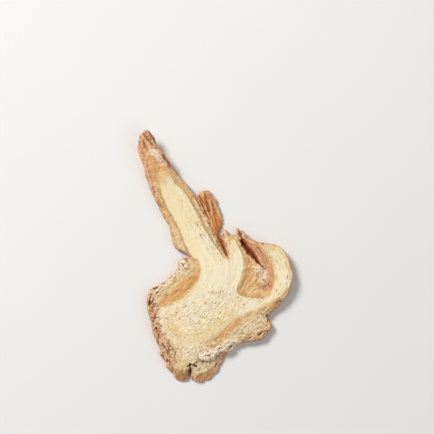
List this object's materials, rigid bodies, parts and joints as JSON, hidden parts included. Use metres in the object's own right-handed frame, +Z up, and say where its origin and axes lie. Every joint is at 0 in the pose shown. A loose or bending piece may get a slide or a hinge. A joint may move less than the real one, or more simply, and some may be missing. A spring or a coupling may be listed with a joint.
{
  "type": "dried dong quai root slice",
  "caption": "Dried lengthwise slice of a root head, with a long side root, a short stub and a hooked side root, lying flat on its cut face.",
  "frame": {"origin": "on the resting surface, under the middle of the slice's bounding box", "axes": "+Z is up from the lower cut face, +Y runs from the head of the root towards the tip of the long side root, and +X runs towards the hooked side root"},
  "size_m": [0.0594, 0.0964, 0.0069],
  "materials": {
    "cut_root": "matte, dry and fibrous, with thin reddish brown bark at the rim"
  },
  "bodies": {
    "root": {"crown_body": "cut_root", "long_side_root": "cut_root", "short_side_root": "cut_root", "hooked_side_root": "cut_root"}
  },
  "joints": []
}
